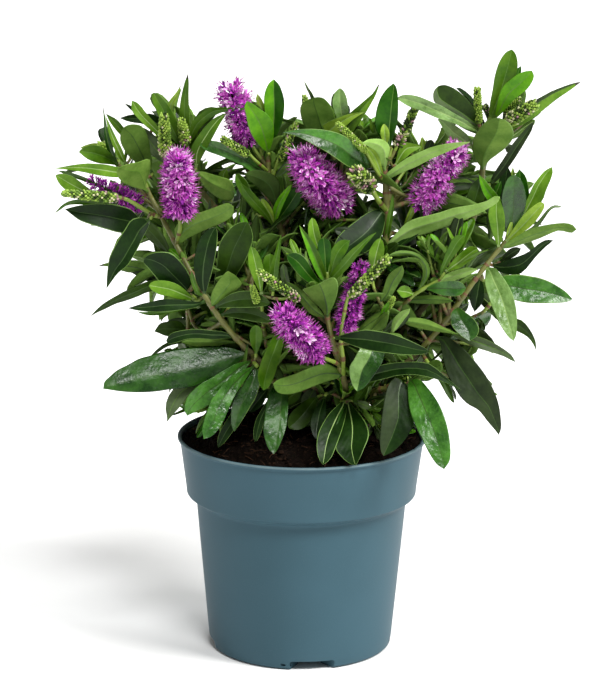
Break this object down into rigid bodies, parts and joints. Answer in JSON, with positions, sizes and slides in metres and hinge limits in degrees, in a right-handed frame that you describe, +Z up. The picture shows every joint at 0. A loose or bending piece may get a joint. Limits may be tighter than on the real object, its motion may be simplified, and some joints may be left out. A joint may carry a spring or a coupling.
{
  "type": "hebe shrub in a nursery pot",
  "caption": "Bushy flowering evergreen shrub with leathery leaves and purple flower spikes, growing in a tapered nursery pot.",
  "frame": {"origin": "centre of the pot's flat underside, on the pot's own axis", "axes": "+Z up along the pot's axis, -Y towards the plant's front, +X to the plant's right as seen from the front"},
  "size_m": [0.351, 0.2697, 0.4128],
  "materials": {
    "pot_plastic": "satin moulded plastic",
    "peat": "moist peat with fibres",
    "bark": "thin brown bark",
    "green_stem": "smooth young stem",
    "foliage": "leathery leaves, glossy above and matt below",
    "blossom": "soft papery petals"
  },
  "bodies": {
    "root": {"pot": "pot_plastic", "soil": "peat", "trunk": "bark", "left_bough": "green_stem", "right_bough": "green_stem", "front_bough": "green_stem", "centre_bough": "green_stem", "top_left_bough": "green_stem", "left_bloom_bough": "green_stem", "top_middle_bough": "green_stem", "top_right_bough": "green_stem", "lower_front_bough": "green_stem", "inner_left_bough": "green_stem", "back_left_bough": "green_stem", "back_middle_bough": "green_stem", "back_right_bough": "green_stem", "upper_left_mass": "foliage", "top_right_mass": "foliage", "right_mass": "foliage", "lower_right_mass": "foliage", "left_middle_mass": "foliage", "lower_left_mass": "foliage", "lower_front_mass": "foliage", "front_mass": "foliage", "left_bloom_mass": "blossom", "top_left_mass": "foliage", "top_middle_mass": "foliage", "top_bloom_mass": "blossom", "right_middle_mass": "foliage", "inner_left_mass": "foliage", "back_left_low_mass": "foliage", "back_left_mass": "foliage", "back_middle_mass": "foliage", "back_right_mass": "foliage", "back_low_left_mass": "foliage", "back_low_right_mass": "foliage"}
  },
  "joints": []
}
